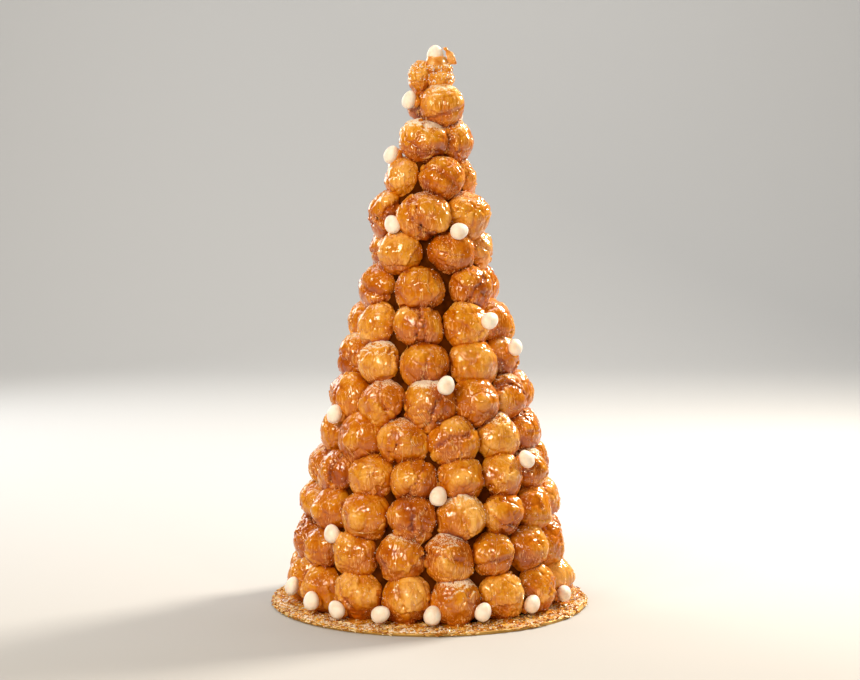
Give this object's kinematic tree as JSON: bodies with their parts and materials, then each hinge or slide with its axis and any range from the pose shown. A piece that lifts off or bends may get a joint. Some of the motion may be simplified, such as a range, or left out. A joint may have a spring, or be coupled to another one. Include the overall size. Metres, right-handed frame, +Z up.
{
  "type": "croquembouche",
  "caption": "Tall cone of caramel-glazed choux puffs stacked in rings, dotted with sugared almonds, on a thin round gold cake board.",
  "frame": {"origin": "centre of the round board's underside, on the surface it stands on", "axes": "+Z up along the cone, -Y towards the front, +X to the right seen from the front"},
  "size_m": [0.3, 0.3, 0.5288],
  "materials": {
    "glazed_choux": "golden-brown choux pastry with a clear amber caramel glaze, cracked and lumpy, dusted with icing sugar on top",
    "hard_caramel": "clear amber boiled sugar, glossy and brittle",
    "sugared_almond": "smooth hard sugar shell, warm white, low sheen",
    "gold_card": "thin card covered in satin gold foil"
  },
  "bodies": {
    "root": {"almond_back_01": "sugared_almond", "almond_back_02": "sugared_almond", "almond_back_03": "sugared_almond", "almond_back_04": "sugared_almond", "almond_back_05": "sugared_almond", "almond_back_06": "sugared_almond", "almond_back_07": "sugared_almond", "almond_back_08": "sugared_almond", "almond_back_09": "sugared_almond", "almond_back_10": "sugared_almond", "almond_back_11": "sugared_almond", "almond_foot_01": "sugared_almond", "almond_foot_02": "sugared_almond", "almond_foot_03": "sugared_almond", "almond_foot_04": "sugared_almond", "almond_foot_05": "sugared_almond", "almond_foot_06": "sugared_almond", "almond_foot_07": "sugared_almond", "almond_foot_08": "sugared_almond", "almond_foot_09": "sugared_almond", "almond_foot_10": "sugared_almond", "almond_foot_11": "sugared_almond", "almond_foot_12": "sugared_almond", "almond_foot_13": "sugared_almond", "almond_foot_14": "sugared_almond", "almond_foot_15": "sugared_almond", "almond_foot_16": "sugared_almond", "almond_front_01": "sugared_almond", "almond_front_02": "sugared_almond", "almond_front_03": "sugared_almond", "almond_front_04": "sugared_almond", "almond_front_05": "sugared_almond", "almond_front_06": "sugared_almond", "almond_front_07": "sugared_almond", "almond_front_08": "sugared_almond", "almond_front_09": "sugared_almond", "almond_front_10": "sugared_almond", "almond_front_11": "sugared_almond", "almond_tip": "sugared_almond", "broken_puff_left": "glazed_choux", "broken_puff_right": "glazed_choux", "cake_board": "gold_card", "caramel_cap": "hard_caramel", "caramel_shard": "hard_caramel", "puff_row_01": "glazed_choux", "puff_row_02": "glazed_choux", "puff_row_03": "glazed_choux", "puff_row_04": "glazed_choux", "puff_row_05": "glazed_choux", "puff_row_06": "glazed_choux", "puff_row_07": "glazed_choux", "puff_row_08": "glazed_choux", "puff_row_09": "glazed_choux", "puff_row_10": "glazed_choux", "puff_row_11": "glazed_choux", "puff_row_12": "glazed_choux", "puff_row_13": "glazed_choux", "puff_row_14": "glazed_choux"}
  },
  "joints": []
}
